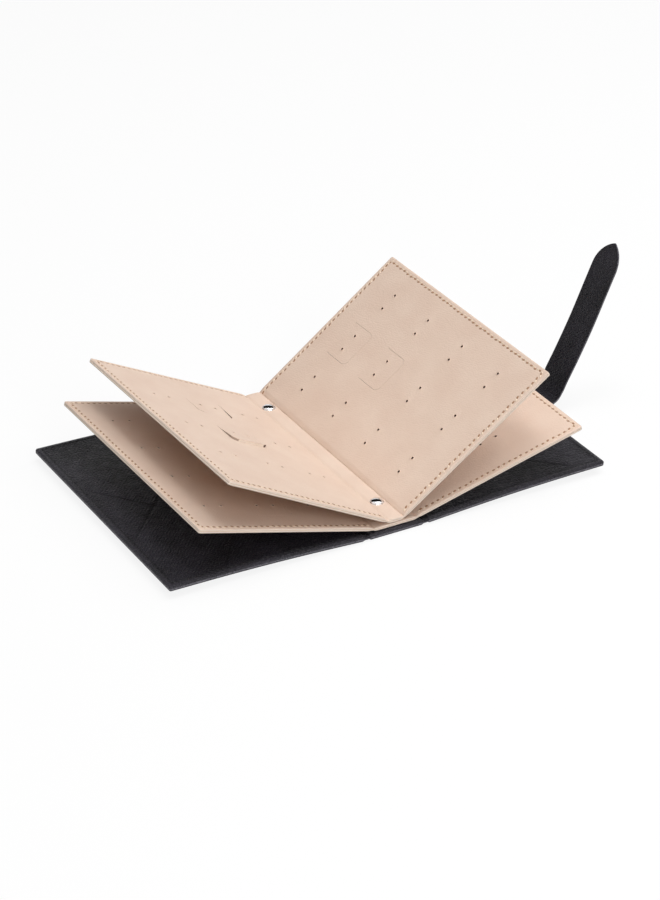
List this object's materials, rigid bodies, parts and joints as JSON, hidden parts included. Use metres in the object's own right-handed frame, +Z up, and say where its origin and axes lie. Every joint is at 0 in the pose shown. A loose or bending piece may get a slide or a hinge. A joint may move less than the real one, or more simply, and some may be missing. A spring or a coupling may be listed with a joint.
{
  "type": "earring book",
  "caption": "Book-shaped earring case: leather cover, punched leaves that turn on a riveted spine, and a pointed strap with a keeper loop.",
  "frame": {"origin": "centre of the spine's underside, on the surface that the open book lies on", "axes": "+X across the open book towards the back cover, +Y along the spine towards its far end, +Z up"},
  "size_m": [0.4, 0.19, 0.1161],
  "materials": {
    "cover_leather": "black pebbled PU leather, soft sheen",
    "page_leather": "beige PU leather, matte, fine grain",
    "stiffener": "grey board",
    "chrome": "polished"
  },
  "bodies": {
    "spine": {"spine_leather": "cover_leather", "spine_board": "stiffener", "spine_lining": "cover_leather", "front_hinge_leather": "cover_leather", "back_hinge_leather": "cover_leather", "outer_page_strip": "page_leather", "outer_page_strip_board": "stiffener", "inner_page_strip": "page_leather", "inner_page_strip_board": "stiffener", "rivet_post_near": "chrome", "rivet_post_far": "chrome", "rivet_cap_near": "chrome", "rivet_cap_far": "chrome"},
    "front_cover": {"front_cover_leather": "cover_leather", "front_cover_board": "stiffener", "front_cover_lining": "cover_leather", "keeper_loop": "cover_leather"},
    "back_cover": {"back_cover_leather": "cover_leather", "back_cover_board": "stiffener", "back_cover_lining": "cover_leather", "strap_anchor_outer": "cover_leather", "strap_anchor_lining": "cover_leather"},
    "strap_root": {"strap_root_outer": "cover_leather", "strap_root_lining": "cover_leather"},
    "strap_bridge": {"strap_bridge_outer": "cover_leather", "strap_bridge_lining": "cover_leather"},
    "strap_tongue": {"strap_tongue_outer": "cover_leather", "strap_tongue_lining": "cover_leather"},
    "leaf_1": {"leaf_1_flap": "page_leather", "leaf_1_upper_leather": "page_leather", "leaf_1_board": "stiffener", "leaf_1_lower_leather": "page_leather"},
    "leaf_2": {"leaf_2_flap": "page_leather", "leaf_2_upper_leather": "page_leather", "leaf_2_board": "stiffener", "leaf_2_lower_leather": "page_leather"},
    "leaf_3_flap": {"leaf_3_flap": "page_leather"},
    "leaf_3": {"leaf_3_upper_leather": "page_leather", "leaf_3_board": "stiffener", "leaf_3_lower_leather": "page_leather"},
    "leaf_4": {"leaf_4_flap": "page_leather", "leaf_4_upper_leather": "page_leather", "leaf_4_board": "stiffener", "leaf_4_lower_leather": "page_leather"}
  },
  "joints": [
    {"name": "front_cover_hinge", "type": "hinge", "parent": "spine", "child": "front_cover", "pos_m": [-0.02235, 0, 0.002], "axis": [0, 1, 0], "range_deg": [-2, 88]},
    {"name": "back_cover_hinge", "type": "hinge", "parent": "spine", "child": "back_cover", "pos_m": [0.02235, 0, 0.002], "axis": [0, -1, 0], "range_deg": [-2, 88]},
    {"name": "leaf_1_fan", "type": "hinge", "parent": "spine", "child": "leaf_1", "pos_m": [-0.0165, 0, 0.0062], "axis": [0, 1, 0], "range_deg": [-1.71, 75]},
    {"name": "leaf_2_fan", "type": "hinge", "parent": "spine", "child": "leaf_2", "pos_m": [-0.0063, 0, 0.0093], "axis": [0, 1, 0], "range_deg": [-1.44, 63.3]},
    {"name": "leaf_3_fan", "type": "hinge", "parent": "spine", "child": "leaf_3_flap", "pos_m": [0.0063, 0, 0.0093], "axis": [0, -1, 0], "range_deg": [-1.21, 53]},
    {"name": "leaf_3_turn", "type": "hinge", "parent": "leaf_3_flap", "child": "leaf_3", "pos_m": [0.01069, 0, 0.01261], "axis": [0, 1, 0], "range_deg": [-110, 0]},
    {"name": "leaf_4_fan", "type": "hinge", "parent": "spine", "child": "leaf_4", "pos_m": [0.0165, 0, 0.0062], "axis": [0, -1, 0], "range_deg": [-1.71, 75]},
    {"name": "strap_root_fold", "type": "hinge", "parent": "back_cover", "child": "strap_root", "pos_m": [0.16737, 0, 0.00396], "axis": [0, -1, 0], "range_deg": [-12.7, 77.3]},
    {"name": "strap_bridge_fold", "type": "hinge", "parent": "strap_root", "child": "strap_bridge", "pos_m": [0.18643, 0, 0.00896], "axis": [0, 1, 0], "range_deg": [-8.1, 49.2]},
    {"name": "strap_tongue_fold", "type": "hinge", "parent": "strap_bridge", "child": "strap_tongue", "pos_m": [0.20195, 0, 0.04066], "axis": [0, -1, 0], "range_deg": [-25, 86.7]}
  ],
  "couplings": [
    {"joint": "leaf_1_fan", "follows": "front_cover_hinge", "ratio": 0.8522},
    {"joint": "leaf_2_fan", "follows": "front_cover_hinge", "ratio": 0.7193},
    {"joint": "leaf_3_fan", "follows": "back_cover_hinge", "ratio": 0.6022},
    {"joint": "leaf_4_fan", "follows": "back_cover_hinge", "ratio": 0.8522},
    {"joint": "strap_bridge_fold", "follows": "strap_root_fold", "ratio": 0.6364}
  ]
}
